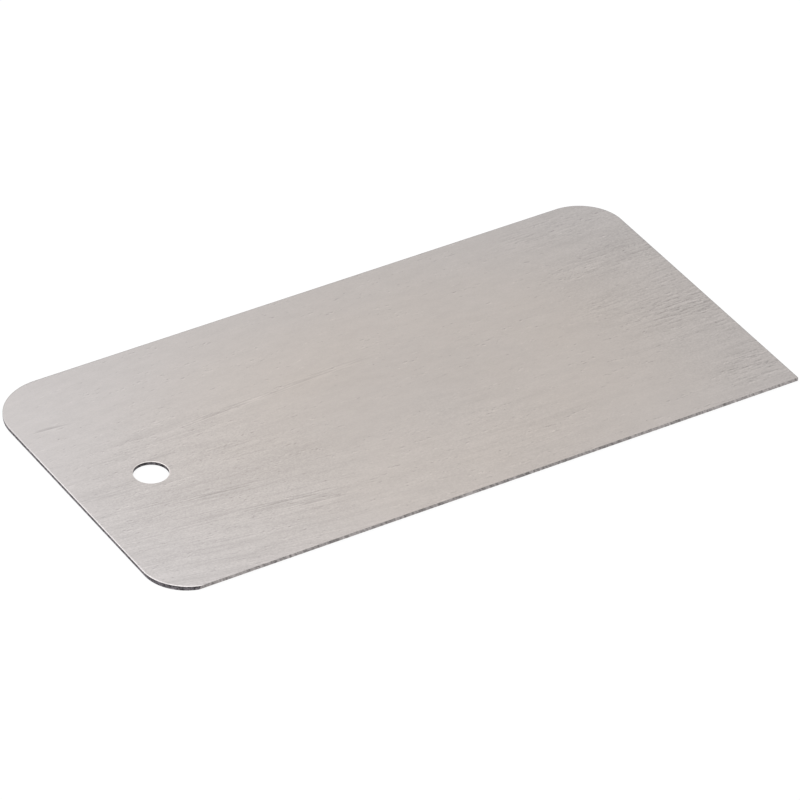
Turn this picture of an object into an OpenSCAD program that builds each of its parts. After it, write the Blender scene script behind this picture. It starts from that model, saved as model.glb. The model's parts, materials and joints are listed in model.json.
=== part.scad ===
// Card scraper: one thin plate of spring steel, stamped with three rounded corners and a hanging hole,
// then ground along one long edge, which leaves that edge crisp and its right-hand corner square.
// The plate lies flat. Its length runs along X, its ground working edge faces -Y, and Z is up.
// The origin is at the middle of the underside.

/* [Plate] */
// Length along the working edge
plate_length = 115; // [80:1:200]
// Width from the working edge to the back edge
plate_width = 60; // [40:1:90]
// Thickness of the steel strip
plate_thickness = 0.6; // [0.3:0.05:1.5]

/* [Corners] */
// Radius of the back left corner, by the hanging hole
back_left_radius = 9.6; // [2:0.1:15]
// Radius of the back right corner
back_right_radius = 7.8; // [2:0.1:15]
// Radius of the front left corner, where the working edge starts
front_left_radius = 7.4; // [2:0.1:15]
// Radius that breaks the square corner at the other end of the working edge
tip_radius = 0.1; // [0.05:0.05:5]

/* [Edges] */
// Width over which stamping rolls the upper face down, along every edge that isn't ground
roll_width = 0.2; // [0.1:0.05:0.5]
// Depth to which stamping rolls the upper face down
roll_depth = 0.03; // [0.01:0.01:0.1]
// Depth that grinding takes off the working edge after stamping, so that it cuts across the front left arc
grind_depth = 0.25; // [0.05:0.05:1]

/* [Hanging hole] */
// Diameter of the hanging hole
hole_diameter = 5.7; // [3:0.1:10]
// Distance of the hole's centre from the left short edge
hole_inset = 13.5; // [8:0.5:25]
// Distance of the hole's centre from the plate's middle line, towards the working edge
hole_offset = 0.8; // [0:0.05:8]

/* [Hidden] */
$fn = 96;

// How far a cutter runs past the steel that it takes away
cut_margin = 0.5;

// The finished plate's edges, and the blank's front edge before it is ground
left_x = -plate_length / 2;
right_x = plate_length / 2;
back_y = plate_width / 2;
front_y = -plate_width / 2;
blank_front_y = front_y - grind_depth;

// Radius of the rolled arris, an arc that leaves the upper face smoothly and ends at the edge
roll_radius = (roll_width ^ 2 + roll_depth ^ 2) / (2 * roll_depth);

// Centres of the corner arcs and of the hanging hole
back_left_centre = [left_x + back_left_radius, back_y - back_left_radius];
back_right_centre = [right_x - back_right_radius, back_y - back_right_radius];
front_left_centre = [left_x + front_left_radius, blank_front_y + front_left_radius];
tip_centre = [right_x - tip_radius, front_y + tip_radius];
hole_centre = [left_x + hole_inset, -hole_offset];

steel_colour = [0.76, 0.74, 0.73];

// The waste outside a corner's arc, in the quarter that starts at an angle
module corner_waste(centre, radius, start_angle) {
    translate(centre)
        rotate(start_angle)
            difference() {
                square(radius + cut_margin);
                circle(radius);
            }
}

// The outline that the die cuts from the strip
module stamped_outline() {
    difference() {
        translate([left_x, blank_front_y])
            square([plate_length, back_y - blank_front_y]);
        corner_waste(back_right_centre, back_right_radius, 0);
        corner_waste(back_left_centre, back_left_radius, 90);
        corner_waste(front_left_centre, front_left_radius, 180);
        translate(hole_centre)
            circle(d = hole_diameter);
    }
}

// Section of the steel that is missing above a rolled arris, with the edge at x = 0 and the plate at x < 0
module arris_section() {
    translate([-roll_width, plate_thickness - roll_radius])
        difference() {
            translate([0, roll_radius - roll_depth])
                square([roll_width, roll_depth] + [cut_margin, cut_margin]);
            circle(roll_radius);
        }
}

// Rolled arris along a straight edge that faces an angle, and runs clockwise round the plate from its start
module straight_arris(start, facing, run) {
    translate(start)
        rotate([90, 0, facing])
            linear_extrude(run)
                arris_section();
}

// Rolled arris round a corner's arc, in the quarter that starts at an angle
module corner_arris(centre, radius, start_angle) {
    translate(centre)
        rotate(start_angle)
            rotate_extrude(angle = 90)
                translate([radius, 0])
                    arris_section();
}

// Rolled arris round the hanging hole
module hole_arris() {
    translate(hole_centre)
        rotate_extrude()
            translate([hole_diameter / 2, 0])
                mirror([1, 0])
                    arris_section();
}

// The plate as it leaves the die, rolled over along its upper arrises
module stamped_blank() {
    difference() {
        linear_extrude(plate_thickness)
            stamped_outline();
        straight_arris([left_x, front_left_centre.y], 180, back_left_centre.y - front_left_centre.y);
        corner_arris(back_left_centre, back_left_radius, 90);
        straight_arris([back_left_centre.x, back_y], 90, back_right_centre.x - back_left_centre.x);
        corner_arris(back_right_centre, back_right_radius, 0);
        straight_arris([right_x, back_right_centre.y], 0, back_right_centre.y - blank_front_y);
        corner_arris(front_left_centre, front_left_radius, 180);
        hole_arris();
    }
}

// The strip that grinding takes off the working edge, and the nib that it takes off the square corner
module grinding_waste() {
    translate([0, 0, -cut_margin])
        linear_extrude(plate_thickness + 2 * cut_margin) {
            translate([left_x - cut_margin, blank_front_y - cut_margin])
                square([plate_length + 2 * cut_margin, grind_depth + cut_margin]);
            corner_waste(tip_centre, tip_radius, 270);
        }
}

module blade() {
    color(steel_colour)
        difference() {
            stamped_blank();
            grinding_waste();
        }
}

blade();
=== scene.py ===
"""A stamped steel card scraper with its finishes and a small photo stage, laid out as a Blender add-on.

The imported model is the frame: the plate takes its size and its hanging hole from it, and lies where it does.
Lengths are in metres, as in the frame. Values whose names end in _MM are in millimetres.
"""

import json
import math

import bpy
from bpy.props import FloatProperty, FloatVectorProperty, IntProperty, PointerProperty
from mathutils import Matrix, Vector


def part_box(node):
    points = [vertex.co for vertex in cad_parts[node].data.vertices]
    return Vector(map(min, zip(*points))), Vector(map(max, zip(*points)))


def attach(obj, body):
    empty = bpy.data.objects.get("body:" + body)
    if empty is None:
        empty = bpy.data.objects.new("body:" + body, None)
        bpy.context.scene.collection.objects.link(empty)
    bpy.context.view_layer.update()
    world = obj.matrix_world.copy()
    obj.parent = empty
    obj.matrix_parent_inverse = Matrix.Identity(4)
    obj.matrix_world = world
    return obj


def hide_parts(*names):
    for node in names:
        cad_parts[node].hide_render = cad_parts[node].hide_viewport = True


bl_info = {
    "name": "Card Scraper",
    "version": (1, 0, 0),
    "blender": (4, 5, 0),
    "location": "View3D > Sidebar > Scraper",
    "description": "Builds a stamped steel card scraper, its finishes and a photo stage",
    "category": "Object",
}

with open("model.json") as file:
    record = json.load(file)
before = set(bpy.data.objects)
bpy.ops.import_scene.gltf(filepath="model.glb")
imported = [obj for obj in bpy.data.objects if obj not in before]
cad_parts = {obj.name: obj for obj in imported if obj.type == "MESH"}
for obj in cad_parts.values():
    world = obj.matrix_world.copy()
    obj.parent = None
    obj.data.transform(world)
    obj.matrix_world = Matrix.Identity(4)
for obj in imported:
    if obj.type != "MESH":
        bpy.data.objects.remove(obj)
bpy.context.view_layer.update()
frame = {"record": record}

MM = 0.001
NODE = "blade"
BODY = "root"

PLATE_LOW, PLATE_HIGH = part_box(NODE)
PLATE_SIZE = PLATE_HIGH - PLATE_LOW
HANG_HOLE = next(m for m in frame["record"]["mounts"] if m["name"] == "hang_hole")

# Noise of all the marks: how many finer layers it has, and each one's strength as a share of the one before
NOISE_DETAIL = 2.0
NOISE_ROUGHNESS = 0.6


def linear(hex_colour):
    """An sRGB colour such as #C8C3BF as linear red, green and blue."""
    channels = [int(hex_colour[i:i + 2], 16) / 255 for i in (1, 3, 5)]
    return [c / 12.92 if c <= 0.04045 else ((c + 0.055) / 1.055) ** 2.4 for c in channels]


def add_node(tree, kind, inputs=(), **settings):
    """Adds a node with its settings, and sets or links its inputs, given by name or number."""
    node = tree.nodes.new(kind)
    for name, value in settings.items():
        setattr(node, name, value)
    for key, value in dict(inputs).items():
        if isinstance(value, bpy.types.Node):
            value = next(s for s in value.outputs if s.enabled)
        if isinstance(value, bpy.types.NodeSocket):
            tree.links.new(value, node.inputs[key])
        else:
            node.inputs[key].default_value = value
    return node


# Settings that a user would change


class ScraperPlateSettings(bpy.types.PropertyGroup):
    """Sizes of the plate, as its frame gives them, and of the marks that stamping and grinding leave."""

    length: FloatProperty(
        name="Length", description="Length along the working edge",
        default=PLATE_SIZE.x, unit="LENGTH", precision=5)
    width: FloatProperty(
        name="Width", description="Width from the working edge to the back edge",
        default=PLATE_SIZE.y, unit="LENGTH", precision=5)
    thickness: FloatProperty(
        name="Thickness", description="Thickness of the steel strip",
        default=PLATE_SIZE.z, unit="LENGTH", precision=5)
    back_left_radius: FloatProperty(
        name="Back Left Radius", description="Corner radius by the hanging hole",
        default=9.6 * MM, unit="LENGTH", precision=5)
    back_right_radius: FloatProperty(
        name="Back Right Radius", description="Corner radius at the far end of the back edge",
        default=7.8 * MM, unit="LENGTH", precision=5)
    front_left_radius: FloatProperty(
        name="Front Left Radius", description="Corner radius where the working edge starts",
        default=7.4 * MM, unit="LENGTH", precision=5)
    tip_radius: FloatProperty(
        name="Tip Radius", description="Radius that breaks the square corner",
        default=0.1 * MM, unit="LENGTH", precision=5)
    roll_width: FloatProperty(
        name="Roll Width", description="Width over which stamping rolls the upper face down along an edge",
        default=0.2 * MM, unit="LENGTH", precision=5)
    roll_depth: FloatProperty(
        name="Roll Depth", description="Depth to which stamping rolls the upper face down along an edge",
        default=0.03 * MM, unit="LENGTH", precision=5)
    grind_depth: FloatProperty(
        name="Grind Depth", description="Depth that grinding takes off the working edge",
        default=0.25 * MM, unit="LENGTH", precision=5)
    corner_lean: FloatProperty(
        name="Corner Lean", description="How far the wall of the front left corner leans in at its top",
        default=0.27 * MM, unit="LENGTH", precision=5)
    hole_radius: FloatProperty(
        name="Hole Radius", description="Radius of the hanging hole",
        default=HANG_HOLE["dims"]["r_mm"] * MM, unit="LENGTH", precision=5)
    hole_centre: FloatVectorProperty(
        name="Hole Centre", description="Centre of the hanging hole, on the underside",
        default=(HANG_HOLE["pos_m"][0], HANG_HOLE["pos_m"][1], PLATE_LOW.z), unit="LENGTH", precision=5)
    burnish_depth: FloatProperty(
        name="Burnish Depth", description="Depth at which the sheared part of a wall turns to torn steel",
        default=0.3 * MM, unit="LENGTH", precision=5)
    fracture_taper: FloatProperty(
        name="Fracture Taper", description="How far the torn part of a stamped edge leans in",
        default=0.02 * MM, unit="LENGTH", precision=5)
    mark_spacing: FloatProperty(
        name="Mark Spacing", description="Spacing of the grinding marks across the working edge",
        default=0.4 * MM, unit="LENGTH", precision=5)
    mark_depth: FloatProperty(
        name="Mark Depth", description="Depth of the deepest grinding marks",
        default=0.03 * MM, unit="LENGTH", precision=5)
    corner_segments: IntProperty(
        name="Corner Segments", description="Steps in each rounded corner", default=40, min=4)
    tip_segments: IntProperty(
        name="Tip Segments", description="Steps in the broken square corner", default=7, min=2)


class ScraperSteelSettings(bpy.types.PropertyGroup):
    """Colours of the steel where it is rolled, sheared and ground."""

    face: FloatVectorProperty(
        name="Rolled Face", description="Cold-rolled face of the strip",
        default=linear("#B4AFAD"), subtype="COLOR", size=3)
    face_warm: FloatVectorProperty(
        name="Oiled Face", description="Rolled face under a film of oil",
        default=linear("#B5ADA7"), subtype="COLOR", size=3)
    edge: FloatVectorProperty(
        name="Sheared Edge", description="Edge that the die sheared",
        default=linear("#9E989D"), subtype="COLOR", size=3)
    ground: FloatVectorProperty(
        name="Ground Edge", description="Working edge that was ground",
        default=linear("#B8B2B1"), subtype="COLOR", size=3)


class ScraperStageSettings(bpy.types.PropertyGroup):
    """Camera, lamps and floor of the photo stage."""

    azimuth: FloatProperty(
        name="Azimuth", description="Camera's turn round the plate, 0 looking along +Y",
        default=math.radians(-31.605), subtype="ANGLE")
    elevation: FloatProperty(
        name="Elevation", description="Camera's height above the horizon",
        default=math.radians(35.502), subtype="ANGLE")
    roll: FloatProperty(
        name="Roll", description="Turn of the camera about its line of sight",
        default=math.radians(0.902), subtype="ANGLE")
    distance: FloatProperty(
        name="Distance", description="Camera's distance from the point that it aims at",
        default=1013.9 * MM, unit="LENGTH", precision=4)
    aim: FloatVectorProperty(
        name="Aim", description="Point in the middle of the picture",
        default=(-0.28 * MM, -3.2 * MM, 0.3 * MM), unit="LENGTH", precision=5)
    lens: FloatProperty(
        name="Lens", description="Focal length on a 36 mm sensor", default=288.73, subtype="DISTANCE_CAMERA")
    room: FloatProperty(
        name="Room", description="Light from the room all round", default=0.75, min=0.0)
    back_softbox: FloatProperty(
        name="Back Softbox", description="Brightness of the softbox behind the plate", default=1.25, min=0.0)
    top_softbox: FloatProperty(
        name="Top Softbox", description="Brightness of the softbox above the plate", default=0.5, min=0.0)
    floor: FloatVectorProperty(
        name="Floor", description="Pale floor", default=linear("#EDEDED"), subtype="COLOR", size=3)
    floor_glow: FloatProperty(
        name="Floor Glow", description="Light that the floor itself shows to the eye", default=0.88, min=0.0)


# The plate's mesh


# Width of the strip along an edge, with the rolled part in it, in widths of the rolled part
STRIP_SHARE = 1.2
ROLL_STEPS = 6
# The cutter for grinding runs this far past the steel. Its side at the tip lies a little outside the plate's
# end, because faces in one plane don't cut cleanly, and is this many tip radii high, so that the arc fits.
CUT_MARGIN = 1 * MM
CUT_CLEARANCE = 0.002 * MM
CUT_RISE = 2.0
# Points that are closer than this become one.
MERGE_DISTANCE = 0.0005 * MM
HOLE_SEGMENTS = 128
# Steps in each grinding mark, and the noise levels at which a mark starts and is deepest
MARK_STEPS = 4
MARK_LEVELS = (0.3, 0.7)
# An edge that turns by more than this is crisp, and a face whose normal's Z is smaller than this is a wall.
SHARP_ANGLE = math.radians(32)
WALL_SLOPE = 0.6

PLATE_INPUTS = (
    ("Length", "length"), ("Width", "width"), ("Thickness", "thickness"),
    ("Back Left Radius", "back_left_radius"), ("Back Right Radius", "back_right_radius"),
    ("Front Left Radius", "front_left_radius"), ("Tip Radius", "tip_radius"),
    ("Roll Width", "roll_width"), ("Roll Depth", "roll_depth"), ("Grind Depth", "grind_depth"),
    ("Corner Lean", "corner_lean"),
    ("Hole Radius", "hole_radius"), ("Hole Centre", "hole_centre"),
    ("Burnish Depth", "burnish_depth"), ("Fracture Taper", "fracture_taper"),
    ("Mark Spacing", "mark_spacing"), ("Mark Depth", "mark_depth"),
    ("Corner Segments", "corner_segments"), ("Tip Segments", "tip_segments"),
)
SOCKET_KINDS = {"Hole Centre": "NodeSocketVector", "Corner Segments": "NodeSocketInt",
                "Tip Segments": "NodeSocketInt"}
STEEL_INPUTS = ("Rolled Face", "Sheared Edge", "Ground Edge")
# Radii of the blank's corners, in the order in which its outline has them. The last is the die's own small
# radius, all of which grinding takes away.
CORNERS = ("Back Right Radius", "Back Left Radius", "Front Left Radius", "Grind Depth")


def by_index(tree, kind, values):
    """A field that gives each point, in order, its own value out of a list of sockets."""
    switch = add_node(tree, "GeometryNodeIndexSwitch", {"Index": add_node(tree, "GeometryNodeInputIndex")},
                      data_type=kind)
    while len(switch.index_switch_items) < len(values):
        switch.index_switch_items.new()
    for number, value in enumerate(values):
        tree.links.new(value, switch.inputs[number + 1])
    return switch


def polyline(tree, points):
    """A curve through points, each a pair of numbers or sockets in the plane of X and Y."""
    line = add_node(tree, "GeometryNodeMeshLine", {"Count": len(points)})
    curve = add_node(tree, "GeometryNodeMeshToCurve", {"Mesh": line})
    place = by_index(tree, "VECTOR", [
        add_node(tree, "ShaderNodeCombineXYZ", {"X": x, "Y": y}).outputs[0] for x, y in points])
    return add_node(tree, "GeometryNodeSetPosition", {"Geometry": curve, "Position": place})


def stamped_rails(tree, size):
    """The die's outline and, the other way round, its hanging hole, both at the upper face."""
    blank_width = add_node(tree, "ShaderNodeMath", {0: size["Width"], 1: size["Grind Depth"]},
                           operation="ADD")
    blank = add_node(tree, "GeometryNodeCurvePrimitiveQuadrilateral",
                     {"Width": size["Length"], "Height": blank_width}, mode="RECTANGLE")
    radius = by_index(tree, "FLOAT", [size[corner] for corner in CORNERS])
    steps = by_index(tree, "INT", [size["Tip Segments" if corner == "Grind Depth" else "Corner Segments"]
                                   for corner in CORNERS])
    rounded = add_node(tree, "GeometryNodeFilletCurve", {"Curve": blank, "Count": steps, "Radius": radius},
                       mode="POLY")
    half_grind = add_node(tree, "ShaderNodeMath", {0: size["Grind Depth"], 1: -0.5}, operation="MULTIPLY")
    outline = add_node(tree, "GeometryNodeTransform", {
        "Geometry": rounded,
        "Translation": add_node(tree, "ShaderNodeCombineXYZ", {"Y": half_grind, "Z": size["Thickness"]})})
    hole = add_node(tree, "GeometryNodeCurvePrimitiveCircle",
                    {"Resolution": HOLE_SEGMENTS, "Radius": size["Hole Radius"]})
    lift = add_node(tree, "ShaderNodeCombineXYZ", {"Z": size["Thickness"]})
    hole_place = add_node(tree, "ShaderNodeVectorMath", {0: size["Hole Centre"], 1: lift}, operation="ADD")
    placed_hole = add_node(tree, "GeometryNodeTransform", {
        "Geometry": add_node(tree, "GeometryNodeReverseCurve", {"Curve": hole}), "Translation": hole_place})
    rails = add_node(tree, "GeometryNodeJoinGeometry", {"Geometry": outline})
    tree.links.new(placed_hole.outputs[0], rails.inputs["Geometry"])
    return add_node(tree, "GeometryNodeSetCurveNormal", {"Curve": rails}, mode="Z_UP")


def eased_corner(tree, size, blank):
    """The blank with the wall of its front left corner leaning in, most in the middle of the arc."""
    corner = add_node(tree, "ShaderNodeCombineXYZ", {"X": size["Length"], "Y": size["Width"]})
    corner = add_node(tree, "ShaderNodeVectorMath", {0: corner, "Scale": -0.5}, operation="SCALE")
    inset = add_node(tree, "ShaderNodeMath", {0: size["Front Left Radius"], 1: size["Grind Depth"]},
                     operation="SUBTRACT")
    inset = add_node(tree, "ShaderNodeCombineXYZ", {"X": size["Front Left Radius"], "Y": inset})
    centre = add_node(tree, "ShaderNodeVectorMath", {0: corner, 1: inset}, operation="ADD")
    place = add_node(tree, "GeometryNodeInputPosition")
    arm = add_node(tree, "ShaderNodeVectorMath", {0: centre, 1: place}, operation="SUBTRACT")
    arm = add_node(tree, "ShaderNodeVectorMath", {0: arm, 1: (0.0, 0.0, 0.0)}, operation="MAXIMUM")
    arm = add_node(tree, "ShaderNodeVectorMath", {0: arm, 1: (1.0, 1.0, 0.0)}, operation="MULTIPLY")
    inwards = add_node(tree, "ShaderNodeVectorMath", {0: arm}, operation="NORMALIZE")
    part = add_node(tree, "ShaderNodeSeparateXYZ", {"Vector": inwards})
    # The product of the two parts is a half in the middle of the arc and 0 at its ends.
    middle = add_node(tree, "ShaderNodeMath", {0: part.outputs["X"], 1: part.outputs["Y"]},
                      operation="MULTIPLY")
    share = add_node(tree, "ShaderNodeMath", {0: middle, 1: 2.0}, operation="MULTIPLY")
    height = add_node(tree, "ShaderNodeSeparateXYZ", {"Vector": place}).outputs["Z"]
    lean = add_node(tree, "ShaderNodeMapRange", {
        "Value": height, "From Max": size["Thickness"], "To Max": size["Corner Lean"]})
    reach = add_node(tree, "ShaderNodeMath", {0: lean, 1: share}, operation="MULTIPLY")
    offset = add_node(tree, "ShaderNodeVectorMath", {0: inwards, "Scale": reach}, operation="SCALE")
    return add_node(tree, "GeometryNodeSetPosition", {"Geometry": blank, "Offset": offset})


def stamped_blank(tree, size):
    """The plate as it leaves the die: rolled arris, burnished band, torn band and two flat faces."""
    rails = stamped_rails(tree, size)
    inset = add_node(tree, "ShaderNodeMath", {0: size["Roll Width"], 1: -STRIP_SHARE}, operation="MULTIPLY")
    lean = add_node(tree, "ShaderNodeMath", {0: size["Fracture Taper"], 1: -1.0}, operation="MULTIPLY")
    roll = []
    for step in range(ROLL_STEPS + 1):
        share = step / ROLL_STEPS
        inwards = add_node(tree, "ShaderNodeMath", {0: size["Roll Width"], 1: share - 1},
                           operation="MULTIPLY")
        down = add_node(tree, "ShaderNodeMath", {0: size["Roll Depth"], 1: share ** 2}, operation="MULTIPLY")
        roll.append((inwards, down))
    section = polyline(tree, (
        (inset, 0.0), *roll, (0.0, size["Burnish Depth"]), (lean, size["Thickness"]),
        (inset, size["Thickness"])))
    edge = add_node(tree, "GeometryNodeCurveToMesh", {"Curve": rails, "Profile Curve": section})
    outwards = add_node(tree, "GeometryNodeInputNormal")
    inwards = add_node(tree, "ShaderNodeVectorMath", {0: outwards, "Scale": inset}, operation="SCALE")
    rim = add_node(tree, "GeometryNodeSetPosition", {"Geometry": rails, "Offset": inwards})
    flat = add_node(tree, "GeometryNodeFillCurve", {"Curve": rim}, mode="NGONS")
    upper = add_node(tree, "GeometryNodeTransform", {
        "Geometry": flat, "Translation": add_node(tree, "ShaderNodeCombineXYZ", {"Z": size["Thickness"]})})
    lower = add_node(tree, "GeometryNodeFlipFaces", {"Mesh": flat})
    shell = add_node(tree, "GeometryNodeJoinGeometry", {"Geometry": edge})
    for face in (upper, lower):
        tree.links.new(face.outputs[0], shell.inputs["Geometry"])
    closed = add_node(tree, "GeometryNodeMergeByDistance", {"Geometry": shell, "Distance": MERGE_DISTANCE})
    eased = eased_corner(tree, size, closed)
    return add_node(tree, "GeometryNodeSetMaterial", {"Geometry": eased, "Material": size["Rolled Face"]})


def grinding_waste(tree, size):
    """What grinding takes away: a strip with cross marks along the working edge, and the nib of the tip."""
    reach = add_node(tree, "ShaderNodeMath", {0: size["Length"], 1: -1.0, 2: -CUT_MARGIN},
                     operation="MULTIPLY_ADD")
    rise = add_node(tree, "ShaderNodeMath", {0: size["Tip Radius"], 1: CUT_RISE}, operation="MULTIPLY")
    path = polyline(tree, (
        (reach, 0.0), (0.0, 0.0), (0.0, rise), (CUT_MARGIN, rise), (CUT_MARGIN, -CUT_MARGIN),
        (reach, -CUT_MARGIN)))
    ring = add_node(tree, "GeometryNodeSetSplineCyclic", {"Geometry": path, "Cyclic": True})
    number = add_node(tree, "GeometryNodeInputIndex")
    at_start, at_tip = (
        add_node(tree, "FunctionNodeCompare", {"A": number, "B": point}, data_type="INT", operation="EQUAL")
        for point in (0, 1))
    tip = add_node(tree, "ShaderNodeMath", {0: at_tip, 1: size["Tip Radius"]}, operation="MULTIPLY")
    eased = add_node(tree, "GeometryNodeFilletCurve",
                     {"Curve": ring, "Count": size["Tip Segments"], "Radius": tip}, mode="POLY")
    step = add_node(tree, "ShaderNodeMath", {0: size["Mark Spacing"], 1: MARK_STEPS}, operation="DIVIDE")
    steps = add_node(tree, "ShaderNodeMath", {0: size["Length"], 1: step}, operation="DIVIDE")
    cuts = add_node(tree, "ShaderNodeMath", {0: at_start, 1: steps}, operation="MULTIPLY")
    fine = add_node(tree, "GeometryNodeSubdivideCurve", {"Curve": eased, "Cuts": cuts})
    place = add_node(tree, "ShaderNodeSeparateXYZ", {"Vector": add_node(tree, "GeometryNodeInputPosition")})
    on_edge = add_node(tree, "FunctionNodeCompare",
                       {"A": place.outputs["Y"], "B": 0.0, "Epsilon": MERGE_DISTANCE},
                       data_type="FLOAT", operation="EQUAL")
    along = add_node(tree, "ShaderNodeMath", {0: place.outputs["X"], 1: size["Mark Spacing"]},
                     operation="DIVIDE")
    ripple = add_node(tree, "ShaderNodeTexNoise", {
        "W": along, "Scale": 1.0, "Detail": NOISE_DETAIL, "Roughness": NOISE_ROUGHNESS},
        noise_dimensions="1D")
    depth = add_node(tree, "ShaderNodeMapRange", {
        "Value": ripple, "From Min": MARK_LEVELS[0], "From Max": MARK_LEVELS[1],
        "To Max": size["Mark Depth"]})
    marked = add_node(tree, "GeometryNodeSetPosition", {
        "Geometry": fine, "Selection": on_edge,
        "Offset": add_node(tree, "ShaderNodeCombineXYZ", {"Y": depth})})
    plan = add_node(tree, "GeometryNodeFillCurve", {"Curve": marked}, mode="NGONS")
    height = add_node(tree, "ShaderNodeMath", {0: size["Thickness"], 1: 2 * CUT_MARGIN}, operation="ADD")
    raised = add_node(tree, "GeometryNodeExtrudeMesh", {
        "Mesh": plan, "Offset": add_node(tree, "ShaderNodeCombineXYZ", {"Z": 1.0}), "Offset Scale": height,
        "Individual": False}, mode="FACES")
    block = add_node(tree, "GeometryNodeJoinGeometry", {"Geometry": raised})
    base = add_node(tree, "GeometryNodeFlipFaces", {"Mesh": plan})
    tree.links.new(base.outputs[0], block.inputs["Geometry"])
    solid = add_node(tree, "GeometryNodeMergeByDistance", {"Geometry": block, "Distance": MERGE_DISTANCE})
    right = add_node(tree, "ShaderNodeMath", {0: size["Length"], 1: 0.5, 2: CUT_CLEARANCE},
                     operation="MULTIPLY_ADD")
    front = add_node(tree, "ShaderNodeMath", {0: size["Width"], 1: -0.5}, operation="MULTIPLY")
    placed = add_node(tree, "GeometryNodeTransform", {
        "Geometry": solid,
        "Translation": add_node(tree, "ShaderNodeCombineXYZ", {"X": right, "Y": front, "Z": -CUT_MARGIN})})
    plain = add_node(tree, "GeometryNodeSetMaterial", {"Geometry": placed, "Material": size["Rolled Face"]})
    return add_node(tree, "GeometryNodeStoreNamedAttribute",
                    {"Geometry": plain, "Name": "ground", "Value": True}, data_type="BOOLEAN", domain="FACE")


def plate_tree():
    """Geometry nodes that stamp the plate, grind its working edge and give each kind of face its steel."""
    tree = bpy.data.node_groups.new("stamped_and_ground_plate", "GeometryNodeTree")
    for label, _ in PLATE_INPUTS:
        kind = SOCKET_KINDS.get(label, "NodeSocketFloat")
        tree.interface.new_socket(label, in_out="INPUT", socket_type=kind)
    for label in STEEL_INPUTS:
        tree.interface.new_socket(label, in_out="INPUT", socket_type="NodeSocketMaterial")
    tree.interface.new_socket("Geometry", in_out="OUTPUT", socket_type="NodeSocketGeometry")
    size = add_node(tree, "NodeGroupInput").outputs
    plate = add_node(tree, "GeometryNodeMeshBoolean", {
        "Mesh 1": stamped_blank(tree, size), "Mesh 2": grinding_waste(tree, size)},
        operation="DIFFERENCE", solver="EXACT")
    smooth = add_node(tree, "GeometryNodeSetShadeSmooth", {"Geometry": plate, "Shade Smooth": True},
                      domain="FACE")
    angle = add_node(tree, "GeometryNodeInputMeshEdgeAngle")
    crisp = add_node(tree, "FunctionNodeCompare", {"A": angle.outputs["Unsigned Angle"], "B": SHARP_ANGLE},
                     data_type="FLOAT", operation="GREATER_THAN")
    shaded = add_node(tree, "GeometryNodeSetShadeSmooth",
                      {"Geometry": smooth, "Selection": crisp, "Shade Smooth": False}, domain="EDGE")
    whole = add_node(tree, "GeometryNodeRealizeInstances", {"Geometry": shaded})
    facing = add_node(tree, "ShaderNodeSeparateXYZ", {"Vector": add_node(tree, "GeometryNodeInputNormal")})
    slope = add_node(tree, "ShaderNodeMath", {0: facing.outputs["Z"]}, operation="ABSOLUTE")
    sheared = add_node(tree, "FunctionNodeCompare", {"A": slope, "B": WALL_SLOPE},
                       data_type="FLOAT", operation="LESS_THAN")
    ground = add_node(tree, "GeometryNodeInputNamedAttribute", {"Name": "ground"}, data_type="BOOLEAN")
    for where, steel in ((sheared, "Sheared Edge"), (ground, "Ground Edge")):
        whole = add_node(tree, "GeometryNodeSetMaterial",
                         {"Geometry": whole, "Selection": where, "Material": size[steel]})
    add_node(tree, "NodeGroupOutput", {"Geometry": whole})
    return tree


# Finishes, with their patterns in millimetres on the plate's own coordinates


# Marks of each kind: how long, wide and deep they are in millimetres, the noise levels at which a mark
# starts and is full, and the seed. Their depth gives the underside marks of its own. The grain of rolling,
# the scuffs and the torn steel are a few hundredths of a millimetre wide, and are drawn coarser so that they
# show.
FACE_MARKS = {
    "strokes": ((12.0, 0.42, 0.2), 0.40, 0.60, 0.0),
    "grain": ((0.34, 0.26, 0.2), 0.30, 0.70, 53.3),
    "bundles": ((18.0, 2.2, 0.2), 0.44, 0.61, 41.9),
    "smears": ((20.0, 2.0, 0.2), 0.42, 0.66, 17.2),
    "mottle": ((5.0, 2.4, 0.2), 0.32, 0.68, 3.1),
    "dashes": ((1.1, 0.28, 0.2), 0.60, 0.68, 11.3),
    "streaks": ((2.8, 0.34, 0.2), 0.48, 0.63, 31.7),
    "lines": ((8.0, 0.32, 0.2), 0.46, 0.58, 23.5),
    "clouds": ((28.0, 22.0, 0.2), 0.30, 0.70, 5.3),
}
EDGE_MARKS = {
    "die_lines": ((0.35, 0.35, 5.0), 0.30, 0.70, 2.9),
    "torn_grain": ((0.42, 0.42, 0.30), 0.36, 0.64, 13.1),
    "stains": ((2.2, 2.2, 2.2), 0.35, 0.65, 19.4),
}
GROUND_MARKS = {
    "flecks": ((0.30, 0.30, 1.0), 0.32, 0.68, 4.3),
    "patches": ((2.0, 2.0, 2.0), 0.35, 0.65, 8.8),
}

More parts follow.
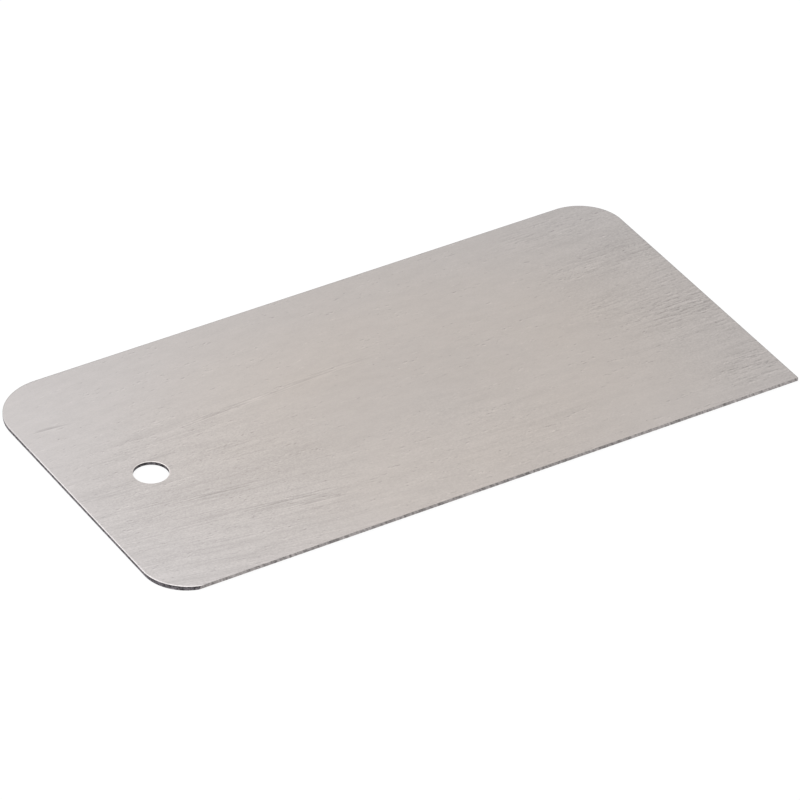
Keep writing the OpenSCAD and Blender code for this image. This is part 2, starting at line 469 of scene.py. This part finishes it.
# What the marks do to each finish. A tone says how much darker a mark makes the steel, or lighter if it is
# below 0. The roughness is that of steel without marks, and rougher says what a mark adds to it. The relief
# says how far a mark stands up, or lies sunk if it is below 0, in shares of the depth.
FACE_EFFECTS = {
    "tones": {
        "pressure": -0.05, "strokes": 0.012, "bundles": -0.045, "bundled_strokes": 0.115,
        "grain": 0.065, "pressed_grain": 0.135, "smears": 0.06, "mottle": 0.06,
        # Lightening beside the streaks is painted highlight.
        "streaks": 0.10, "streaked_grain": 0.26, "painted_streak_highlights": -0.10,
        # Arris darkening is painted shade; arris lightening at the left end and the hole is painted highlight.
        "arris": 0.22, "painted_arris_highlight": -0.44, "painted_hole_rim_highlight": -0.28,
        # Lightening of the burrs beside the dashes is painted highlight.
        "pits": 0.25, "scuffs": 0.24, "burrs_painted_bright": -0.15,
    },
    "roughness": 0.36,
    "rougher": {"scuffs": 0.10, "mottle": 0.04, "streaks": 0.08, "painted_arris_highlight": -0.08},
    "relief": {"burrs_painted_bright": 1.0, "scuffs": -1.0, "strokes": -0.3, "pits": -1.0},
    "depth": 0.004 * MM,
}
EDGE_EFFECTS = {
    # The darkening round the hole is painted shade on its wall.
    "tones": {"die_lines": 0.35, "torn_grain": 0.70, "torn": -0.18, "stains": 0.46, "painted_hole_wall_shade": 0.42},
    "roughness": 0.42,
    "rougher": {"torn": 0.16, "torn_grain": 0.10},
    "relief": {"torn_lumps": 1.0, "die_lines": 0.4},
    "depth": 0.02 * MM,
}
GROUND_EFFECTS = {
    "tones": {"flecks": 0.55, "patches": 0.22, "clean": -0.16},
    "roughness": 0.40,
    "rougher": {"flecks": 0.18},
    "relief": {"flecks": 1.0},
    "depth": 0.02 * MM,
}

# Wiping strokes run straight along the right part of the face. Left of the bend they close up towards the
# stroke at the straight height, by this much for each square millimetre of their distance from the bend.
STROKE_BEND_MM = 15.0
STROKE_STRAIGHT_MM = 8.0
STROKE_CLOSING = 6e-5
# Scuffs are rows of dashes. A row starts at the first noise level where the cloth only brushed the face, and
# at the second where it pressed hardest.
ROW_MM = (7.0, 1.0, 0.2)
ROW_LEVELS = (0.55, 0.48)
ROW_FADE = 0.08
ROW_SEED = 7.7
# Beside each dash, this far across the stroke, stands a raised burr with a painted highlight, and beside
# each streak a painted highlight.
BURR_AND_HIGHLIGHT_MM = (0.0, 0.34, 0.0)
# Worn areas are ovals, at full strength within this share of their size.
WORN_FULL = 0.33
# Where the cloth pressed harder: the centre and half the size of an oval, and the pressure there
PRESSED_AREAS_MM = (
    ((-40.0, -14.0), (36.0, 36.0), 1.0),
    ((4.0, -28.0), (32.0, 32.0), 0.5),
    ((62.0, 0.0), (34.0, 60.0), 0.8),
)
# Long scuffs, each a bunch of fine lines: start, end, width and darkness. Between the lines a scuff is
# lighter than the face, by this share of the darkness.
LONG_SCUFFS_MM = (
    ((-40.0, 7.0), (-14.0, 8.5), 2.4, 0.23),
    ((-27.0, 7.9), (6.0, 9.4), 2.6, 0.18),
    ((-43.0, -15.8), (-17.0, -19.4), 2.6, 0.26),
    ((-34.0, -19.0), (-17.0, -21.2), 2.0, 0.24),
    ((-50.0, -9.0), (-26.0, -12.0), 2.0, 0.25),
    ((-56.4, 17.7), (-47.4, 16.9), 1.2, 0.30),
)
SCUFF_FULL = 0.4
SCUFF_LIGHTENING = 0.36
# Soft dull patches: centre, half the size and darkness
DULL_PATCHES_MM = (
    ((-28.0, -9.0), (30.0, 5.0), 0.04),
    ((2.0, 0.0), (30.0, 15.0), 0.03),
)
PATCH_FULL = 0.3
# Handling has dulled the right end in streaks: the centre and half the size of an oval, and how dull it is.
STREAKED_AREAS_MM = (
    ((50.0, 13.0), (15.0, 6.0), 0.5),
    ((53.0, -4.0), (13.0, 6.5), 0.9),
    ((56.0, -24.0), (12.0, 7.0), 0.9),
    ((44.0, 25.0), (14.0, 5.0), 0.45),
    ((44.0, 2.0), (12.0, 4.0), 0.4),
    ((58.0, 0.0), (9.0, 30.0), 0.6),
)
# Hands have left a warm film of oil, thickest round the middle of the face: an oval's centre and half its
# size. It varies in clouds, and the thinnest are this share of its full thickness.
OIL_FILM_MM = ((6.5, -6.5), (73.0, 55.0))
FILM_FULL = 0.3
FILM_THINNEST = 0.75
# The rolled arris is darkened with painted shade, from the first of these depths below the face to the second.
# Along the left end a painted highlight lightens it: an oval's centre and half its size.
ARRIS_MM = (0.001, 0.012)
ARRIS_HIGHLIGHT_MM = ((-57.5, -14.0), (24.0, 40.0))
ARRIS_HIGHLIGHT_FULL = 0.5
# Pits of rust: how far apart they may lie, their radius and the share of places that have one
PIT_SPACING_MM = 6.0
PIT_RADIUS_MM = 0.16
PIT_SHARE = 0.15

# A stamped wall turns from burnished to torn steel between these heights.
TORN_MM = (0.36, 0.24)
# Round the hole, this far from its centre, its rim carries a painted highlight and its wall painted shade.
HOLE_REACH_MM = 4.0
HOLE_MM = ([centre / MM for centre in HANG_HOLE["pos_m"][:2]], (HOLE_REACH_MM, HOLE_REACH_MM))
HOLE_FULL = 0.9

# Grinding marks lean across the working edge, and it is cleaner towards its square corner.
GRIND_LEAN = math.radians(28)
CLEAN_END_MM = (28.0, 54.0)


def metal(name):
    """A new metal: its material, its node tree, its shader and its place in millimetres."""
    material = bpy.data.materials.new(name)
    material.use_nodes = True
    tree = material.node_tree
    shader = tree.nodes["Principled BSDF"]
    shader.inputs["Metallic"].default_value = 1.0
    place = add_node(tree, "ShaderNodeVectorMath", {
        0: add_node(tree, "ShaderNodeTexCoord").outputs["Object"], "Scale": 1 / MM}, operation="SCALE")
    return material, tree, shader, place


def marks(tree, place, size, low, high, seed, within=1.0):
    """Marks of a size in millimetres, drawn out of noise.

    They are 0 up to the noise level low, and as strong as the mask that they lie within at the level high.
    """
    drawn = add_node(tree, "ShaderNodeMapping", {
        "Vector": place, "Location": (seed, seed, seed), "Scale": [1 / length for length in size]})
    noise = add_node(tree, "ShaderNodeTexNoise", {
        "Vector": drawn, "Scale": 1.0, "Detail": NOISE_DETAIL, "Roughness": NOISE_ROUGHNESS})
    return add_node(tree, "ShaderNodeMapRange", {
        "Value": noise, "From Min": low, "From Max": high, "To Max": within})


def oval(tree, place, centre, half_size, full, within=1.0):
    """A mask as strong as another up to the share full of an oval's size, fading to 0 at its outline."""
    across = add_node(tree, "ShaderNodeVectorMath", {0: place, 1: (*centre, 0.0)}, operation="SUBTRACT")
    share = (1 / half_size[0], 1 / half_size[1], 0.0)
    shares = add_node(tree, "ShaderNodeVectorMath", {0: across, 1: share}, operation="MULTIPLY")
    reach = add_node(tree, "ShaderNodeVectorMath", {0: shares}, operation="LENGTH")
    return add_node(tree, "ShaderNodeMapRange", {
        "Value": reach, "From Min": 1.0, "From Max": full, "To Max": within},
        interpolation_type="SMOOTHSTEP")


def worn(tree, place, areas):
    """A mask of oval areas, each given by its centre, half its size and its strength."""
    mask = 0.0
    for centre, half_size, strength in areas:
        area = oval(tree, place, centre, half_size, WORN_FULL, within=strength)
        mask = add_node(tree, "ShaderNodeMath", {0: mask, 1: area}, operation="MAXIMUM")
    return mask


def dim(tree, tone, mask, amount):
    """A tone made darker by an amount where a mask is 1, or lighter by a negative amount."""
    share = add_node(tree, "ShaderNodeMath", {0: mask, 1: -amount, 2: 1.0}, operation="MULTIPLY_ADD")
    return add_node(tree, "ShaderNodeMath", {0: tone, 1: share}, operation="MULTIPLY")


def toned(tree, masks, amounts):
    """The tone of steel that is dimmed by the amount of each mask."""
    tone = 1.0
    for name, amount in amounts.items():
        tone = dim(tree, tone, masks[name], amount)
    return tone


def lifted(tree, masks, amounts, level):
    """A level lifted by the amount of each mask."""
    for name, amount in amounts.items():
        level = add_node(tree, "ShaderNodeMath", {0: masks[name], 1: amount, 2: level},
                         operation="MULTIPLY_ADD")
    return level


def finish(tree, shader, colour, tone, masks, effects):
    """Gives a metal's shader its colour at a tone, and the roughness and relief that its marks have."""
    shade = add_node(tree, "ShaderNodeVectorMath", {0: colour, "Scale": tone}, operation="SCALE")
    rough = lifted(tree, masks, effects["rougher"], effects["roughness"])
    relief = lifted(tree, masks, effects["relief"], 0.0)
    bump = add_node(tree, "ShaderNodeBump", {"Height": relief, "Distance": effects["depth"]})
    for name, node in (("Base Color", shade), ("Roughness", rough), ("Normal", bump)):
        tree.links.new(node.outputs[0], shader.inputs[name])


def swung(tree, place):
    """The place along and across the wiping strokes, in millimetres."""
    part = add_node(tree, "ShaderNodeSeparateXYZ", {"Vector": place})
    past = add_node(tree, "ShaderNodeMath", {0: STROKE_BEND_MM, 1: part.outputs["X"]}, operation="SUBTRACT")
    past = add_node(tree, "ShaderNodeMath", {0: past, 1: 0.0}, operation="MAXIMUM")
    square = add_node(tree, "ShaderNodeMath", {0: past, 1: 2.0}, operation="POWER")
    spread = add_node(tree, "ShaderNodeMath", {0: square, 1: STROKE_CLOSING, 2: 1.0},
                      operation="MULTIPLY_ADD")
    height = add_node(tree, "ShaderNodeMath", {0: part.outputs["Y"], 1: STROKE_STRAIGHT_MM},
                      operation="SUBTRACT")
    across = add_node(tree, "ShaderNodeMath", {0: height, 1: spread}, operation="MULTIPLY")
    return add_node(tree, "ShaderNodeCombineXYZ", {
        "X": part.outputs["X"], "Y": across, "Z": part.outputs["Z"]})


def scuff_rows(tree, stroke, pressure):
    """A mask of the rows that short scuffs lie in, closer together where the cloth pressed harder."""
    start = add_node(tree, "ShaderNodeMapRange", {
        "Value": pressure, "To Min": ROW_LEVELS[0], "To Max": ROW_LEVELS[1]})
    full = add_node(tree, "ShaderNodeMath", {0: start, 1: ROW_FADE}, operation="ADD")
    return marks(tree, stroke, ROW_MM, start, full, ROW_SEED)


def long_scuff(tree, place, start, end, width):
    """A mask of fine lines in a spindle along a line from start to end, below 0 between the lines."""
    run = Vector(end) - Vector(start)
    middle = (Vector(start) + Vector(end)) / 2
    along = add_node(tree, "ShaderNodeMapping", {
        "Vector": place, "Location": (*middle, 0.0), "Rotation": (0.0, 0.0, math.atan2(run.y, run.x))},
        vector_type="TEXTURE")
    spindle = oval(tree, along, (0.0, 0.0), (run.length / 2, width / 2), SCUFF_FULL)
    lines = marks(tree, along, *FACE_MARKS["lines"], within=spindle)
    return add_node(tree, "ShaderNodeMath", {0: spindle, 1: -SCUFF_LIGHTENING, 2: lines},
                    operation="MULTIPLY_ADD")


def rolled_arris(tree, place):
    """A mask of the rolled arris, which lies a little below the upper face."""
    top = PLATE_SIZE.z / MM
    height = add_node(tree, "ShaderNodeSeparateXYZ", {"Vector": place}).outputs["Z"]
    upper = add_node(tree, "ShaderNodeMath", {0: height, 1: top / 2}, operation="GREATER_THAN")
    return add_node(tree, "ShaderNodeMapRange", {
        "Value": height, "From Min": top - ARRIS_MM[0], "From Max": top - ARRIS_MM[1], "To Max": upper})


def rust_pits(tree, place):
    """A mask of round pits, scattered over the face."""
    spread = add_node(tree, "ShaderNodeTexVoronoi", {"Vector": place, "Scale": 1 / PIT_SPACING_MM},
                      voronoi_dimensions="2D")
    reach = add_node(tree, "ShaderNodeMath", {0: spread.outputs["Distance"], 1: PIT_SPACING_MM},
                     operation="MULTIPLY")
    draw = add_node(tree, "ShaderNodeSeparateColor", {"Color": spread.outputs["Color"]})
    chosen = add_node(tree, "ShaderNodeMath", {0: draw, 1: PIT_SHARE}, operation="LESS_THAN")
    return add_node(tree, "ShaderNodeMapRange", {
        "Value": reach, "From Min": PIT_RADIUS_MM, "From Max": PIT_RADIUS_MM / 2, "To Max": chosen})


def rolled_face(colours):
    """Cold-rolled spring steel strip, wiped along its length with an abrasive cloth.

    Rolling gives the eye a satin grey with a fine grain and soft mottling. The cloth adds long fine strokes,
    in bundles where it was pressed, and rows of short dashes, each with a raised burr along one side that
    carries a painted highlight.
    Handling adds a few long scuffs of fine lines, dull streaks at the right end with painted highlights
    beside them, a warm film of oil and a few tiny pits. The rolled arris is darkened with painted shade, but
    carries a painted highlight along the left end and round the hole.
    """
    material, tree, shader, place = metal("cold_rolled_spring_steel")
    stroke = swung(tree, place)
    beside = add_node(tree, "ShaderNodeVectorMath", {0: stroke, 1: BURR_AND_HIGHLIGHT_MM}, operation="ADD")
    pressure = worn(tree, place, PRESSED_AREAS_MM)
    dull = worn(tree, place, STREAKED_AREAS_MM)
    rows = scuff_rows(tree, stroke, pressure)
    bundles = marks(tree, stroke, *FACE_MARKS["bundles"], within=pressure)
    streaks = marks(tree, stroke, *FACE_MARKS["streaks"], within=dull)
    arris = rolled_arris(tree, place)
    masks = {
        "pressure": pressure,
        "strokes": marks(tree, stroke, *FACE_MARKS["strokes"]),
        "bundles": bundles,
        "bundled_strokes": marks(tree, stroke, *FACE_MARKS["strokes"], within=bundles),
        "grain": marks(tree, stroke, *FACE_MARKS["grain"]),
        "pressed_grain": marks(tree, stroke, *FACE_MARKS["grain"], within=pressure),
        "smears": marks(tree, stroke, *FACE_MARKS["smears"], within=pressure),
        "mottle": marks(tree, stroke, *FACE_MARKS["mottle"]),
        "streaks": streaks,
        "streaked_grain": marks(tree, stroke, *FACE_MARKS["grain"], within=streaks),
        # Painted highlights beside the streaks
        "painted_streak_highlights": marks(tree, beside, *FACE_MARKS["streaks"], within=dull),
        "arris": arris,
        # Painted highlight on the arris along the left end
        "painted_arris_highlight": oval(tree, place, *ARRIS_HIGHLIGHT_MM, ARRIS_HIGHLIGHT_FULL, within=arris),
        # Painted highlight on the arris round the hole
        "painted_hole_rim_highlight": oval(tree, place, *HOLE_MM, HOLE_FULL, within=arris),
        "pits": rust_pits(tree, place),
        "scuffs": marks(tree, stroke, *FACE_MARKS["dashes"], within=rows),
        # Burrs beside the dashes, with a painted highlight
        "burrs_painted_bright": marks(tree, beside, *FACE_MARKS["dashes"], within=rows),
    }
    tone = toned(tree, masks, FACE_EFFECTS["tones"])
    for centre, half_size, darkness in DULL_PATCHES_MM:
        tone = dim(tree, tone, oval(tree, place, centre, half_size, PATCH_FULL), darkness)
    for first, last, width, darkness in LONG_SCUFFS_MM:
        tone = dim(tree, tone, long_scuff(tree, place, first, last, width), darkness)

    clouds = marks(tree, place, *FACE_MARKS["clouds"])
    thickness = add_node(tree, "ShaderNodeMapRange", {"Value": clouds, "To Min": FILM_THINNEST})
    film = oval(tree, place, *OIL_FILM_MM, FILM_FULL, within=thickness)
    tint = add_node(tree, "ShaderNodeMix", {
        "Factor": film, "A": [*colours.face, 1], "B": [*colours.face_warm, 1]}, data_type="RGBA")
    finish(tree, shader, tint, tone, masks, FACE_EFFECTS)
    return material


def sheared_edge(colours):
    """Die-sheared spring steel.

    The upper part is burnished smooth by the die and has fine upright lines. The lower part is torn, and
    looks dull, granular and a little paler. Cutting oil has left stains. The wall of the hole is darkened
    with painted shade.
    """
    material, tree, shader, place = metal("die_sheared_spring_steel")
    height = add_node(tree, "ShaderNodeSeparateXYZ", {"Vector": place}).outputs["Z"]
    torn = add_node(tree, "ShaderNodeMapRange", {
        "Value": height, "From Min": TORN_MM[0], "From Max": TORN_MM[1]})
    masks = {name: marks(tree, place, *kind) for name, kind in EDGE_MARKS.items()}
    masks["torn"] = torn
    masks["torn_lumps"] = marks(tree, place, *EDGE_MARKS["torn_grain"], within=torn)
    # Painted shade on the wall of the hole
    masks["painted_hole_wall_shade"] = oval(tree, place, *HOLE_MM, HOLE_FULL)
    tone = toned(tree, masks, EDGE_EFFECTS["tones"])
    finish(tree, shader, (*colours.edge,), tone, masks, EDGE_EFFECTS)
    return material


def ground_edge(colours):
    """Coarsely ground spring steel: slanting cross marks that catch the light as pale and dark flecks."""
    material, tree, shader, place = metal("coarse_ground_spring_steel")
    leaning = add_node(tree, "ShaderNodeMapping", {"Vector": place, "Rotation": (0.0, GRIND_LEAN, 0.0)})
    along = add_node(tree, "ShaderNodeSeparateXYZ", {"Vector": place}).outputs["X"]
    masks = {
        "flecks": marks(tree, leaning, *GROUND_MARKS["flecks"]),
        "patches": marks(tree, place, *GROUND_MARKS["patches"]),
        "clean": add_node(tree, "ShaderNodeMapRange", {
            "Value": along, "From Min": CLEAN_END_MM[0], "From Max": CLEAN_END_MM[1]}),
    }
    tone = toned(tree, masks, GROUND_EFFECTS["tones"])
    finish(tree, shader, (*colours.ground,), tone, masks, GROUND_EFFECTS)
    return material


# The stage


FLOOR_REACH = 3.0
FLOOR_DROP = 0.01 * MM
FLOOR_CORNERS = ((-1, -1), (1, -1), (1, 1), (-1, 1))
# Softboxes: name of the lamp and of its brightness, its middle, its width and height, and its colour
SOFTBOXES = (
    ("back_softbox", (-0.14, 0.20, 0.34), (0.60, 0.51), "#F7FAFF"),
    ("top_softbox", (0.0, 0.06, 0.45), (0.53, 0.58), "#FFFFFF"),
)


def seen(tree):
    """1 for a ray from the camera or by way of a reflection or a clear piece, 0 for light on its way."""
    path = add_node(tree, "ShaderNodeLightPath")
    mask = path.outputs["Is Camera Ray"]
    for kind in ("Is Glossy Ray", "Is Transmission Ray"):
        mask = add_node(tree, "ShaderNodeMath", {0: mask, 1: path.outputs[kind]}, operation="MAXIMUM")
    return mask


def white_floor(stage):
    """A pale matt floor that shows white, with the object's shadow, to the camera and to the steel."""
    material = bpy.data.materials.new("pale_matt_floor")
    material.use_nodes = True
    tree = material.node_tree
    lit = tree.nodes["Principled BSDF"]
    lit.inputs["Base Color"].default_value = [*stage.floor, 1]
    lit.inputs["Roughness"].default_value = 1.0
    shaded = add_node(tree, "ShaderNodeBsdfDiffuse", {"Color": [1 - stage.floor_glow] * 3 + [1]})
    glow = add_node(tree, "ShaderNodeEmission", {"Strength": stage.floor_glow})
    shown = add_node(tree, "ShaderNodeAddShader", {0: shaded, 1: glow})
    surface = add_node(tree, "ShaderNodeMixShader", {0: seen(tree), 1: lit, 2: shown})
    tree.links.new(surface.outputs[0], tree.nodes["Material Output"].inputs["Surface"])
    return material


def white_room(stage):
    """A room that shows white and lights the object at the room's level."""
    world = bpy.data.worlds.new("white_room")
    world.use_nodes = True
    tree = world.node_tree
    level = add_node(tree, "ShaderNodeMapRange", {"Value": seen(tree), "To Min": stage.room, "To Max": 1.0})
    background = tree.nodes["Background"]
    background.inputs["Color"].default_value = (1, 1, 1, 1)
    tree.links.new(level.outputs[0], background.inputs["Strength"])
    return world


# Operators


class SCRAPER_OT_plate(bpy.types.Operator):
    """Stamp and grind the steel plate, and give each of its surfaces its finish"""

    bl_idname = "scraper.plate"
    bl_label = "Build Plate"

    def execute(self, context):
        sizes = context.scene.scraper_plate
        colours = context.scene.scraper_steel
        tree = plate_tree()
        host = bpy.data.objects.new("plate_host", bpy.data.meshes.new("plate_host"))
        context.scene.collection.objects.link(host)
        modifier = host.modifiers.new("plate", "NODES")
        modifier.node_group = tree
        identifiers = {socket.name: socket.identifier for socket in tree.interface.items_tree
                       if socket.in_out == "INPUT"}
        for label, setting in PLATE_INPUTS:
            modifier[identifiers[label]] = getattr(sizes, setting)
        for label, steel in zip(STEEL_INPUTS, (rolled_face, sheared_edge, ground_edge)):
            modifier[identifiers[label]] = steel(colours)
        depsgraph = context.evaluated_depsgraph_get()
        mesh = bpy.data.meshes.new_from_object(host.evaluated_get(depsgraph), depsgraph=depsgraph)
        bpy.data.objects.remove(host)
        if not mesh.polygons:
            raise RuntimeError("the plate's geometry nodes made no faces")
        # Set Material puts an empty slot before the first steel.
        mesh.materials.pop(index=list(mesh.materials).index(None))
        mesh.name = "scraper_plate"
        plate = bpy.data.objects.new("scraper_plate", mesh)
        context.scene.collection.objects.link(plate)
        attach(plate, BODY)
        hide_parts(NODE)
        return {"FINISHED"}


class SCRAPER_OT_stage(bpy.types.Operator):
    """Set up the floor, the lamps and the camera"""

    bl_idname = "scraper.stage"
    bl_label = "Build Stage"

    def execute(self, context):
        scene = context.scene
        stage = scene.scraper_stage
        scene.view_settings.view_transform = "Standard"
        scene.world = white_room(stage)

        corners = [(x * FLOOR_REACH, y * FLOOR_REACH, -FLOOR_DROP) for x, y in FLOOR_CORNERS]
        mesh = bpy.data.meshes.new("floor")
        mesh.from_pydata(corners, [], [range(len(corners))])
        mesh.materials.append(white_floor(stage))
        floor = bpy.data.objects.new("floor", mesh)
        scene.collection.objects.link(floor)

        for name, middle, (width, height), colour in SOFTBOXES:
            light = bpy.data.lights.new(name, "AREA")
            light.color = linear(colour)
            light.shape = "RECTANGLE"
            light.size = width
            light.size_y = height
            # The power that makes a lamp of this area as bright as its setting says
            light.energy = getattr(stage, name) * math.pi * width * height
            lamp = bpy.data.objects.new(name, light)
            lamp.matrix_world = (Matrix.Translation(middle)
                                 @ (-Vector(middle)).to_track_quat("-Z", "Y").to_matrix().to_4x4())
            lamp.visible_camera = False
            scene.collection.objects.link(lamp)

        camera = bpy.data.objects.new("camera", bpy.data.cameras.new("camera"))
        scene.collection.objects.link(camera)
        level = math.cos(stage.elevation)
        back = Vector((math.sin(stage.azimuth) * level, -math.cos(stage.azimuth) * level,
                       math.sin(stage.elevation)))
        turn = (-back).to_track_quat("-Z", "Y").to_matrix() @ Matrix.Rotation(stage.roll, 3, "Z")
        camera.matrix_world = Matrix.Translation(Vector(stage.aim) + back * stage.distance) @ turn.to_4x4()
        camera.data.lens = stage.lens
        scene.camera = camera
        return {"FINISHED"}


class SCRAPER_PT_panel(bpy.types.Panel):
    """Settings of the scraper and its stage, with a button for each operator."""

    bl_label = "Card Scraper"
    bl_idname = "SCRAPER_PT_panel"
    bl_space_type = "VIEW_3D"
    bl_region_type = "UI"
    bl_category = "Scraper"

    def draw(self, context):
        for group in SETTINGS:
            settings = getattr(context.scene, group)
            box = self.layout.box()
            for name in settings.__annotations__:
                box.prop(settings, name)
        for operator in (SCRAPER_OT_plate, SCRAPER_OT_stage):
            self.layout.operator(operator.bl_idname)


SETTINGS = {"scraper_plate": ScraperPlateSettings, "scraper_steel": ScraperSteelSettings,
            "scraper_stage": ScraperStageSettings}
CLASSES = (*SETTINGS.values(), SCRAPER_OT_plate, SCRAPER_OT_stage, SCRAPER_PT_panel)


def register():
    for cls in CLASSES:
        bpy.utils.register_class(cls)
    for name, settings in SETTINGS.items():
        setattr(bpy.types.Scene, name, PointerProperty(type=settings))


def unregister():
    for name in SETTINGS:
        delattr(bpy.types.Scene, name)
    for cls in reversed(CLASSES):
        bpy.utils.unregister_class(cls)


def main():
    register()
    bpy.ops.scraper.plate()
    bpy.ops.scraper.stage()


if __name__ == "__main__":
    main()
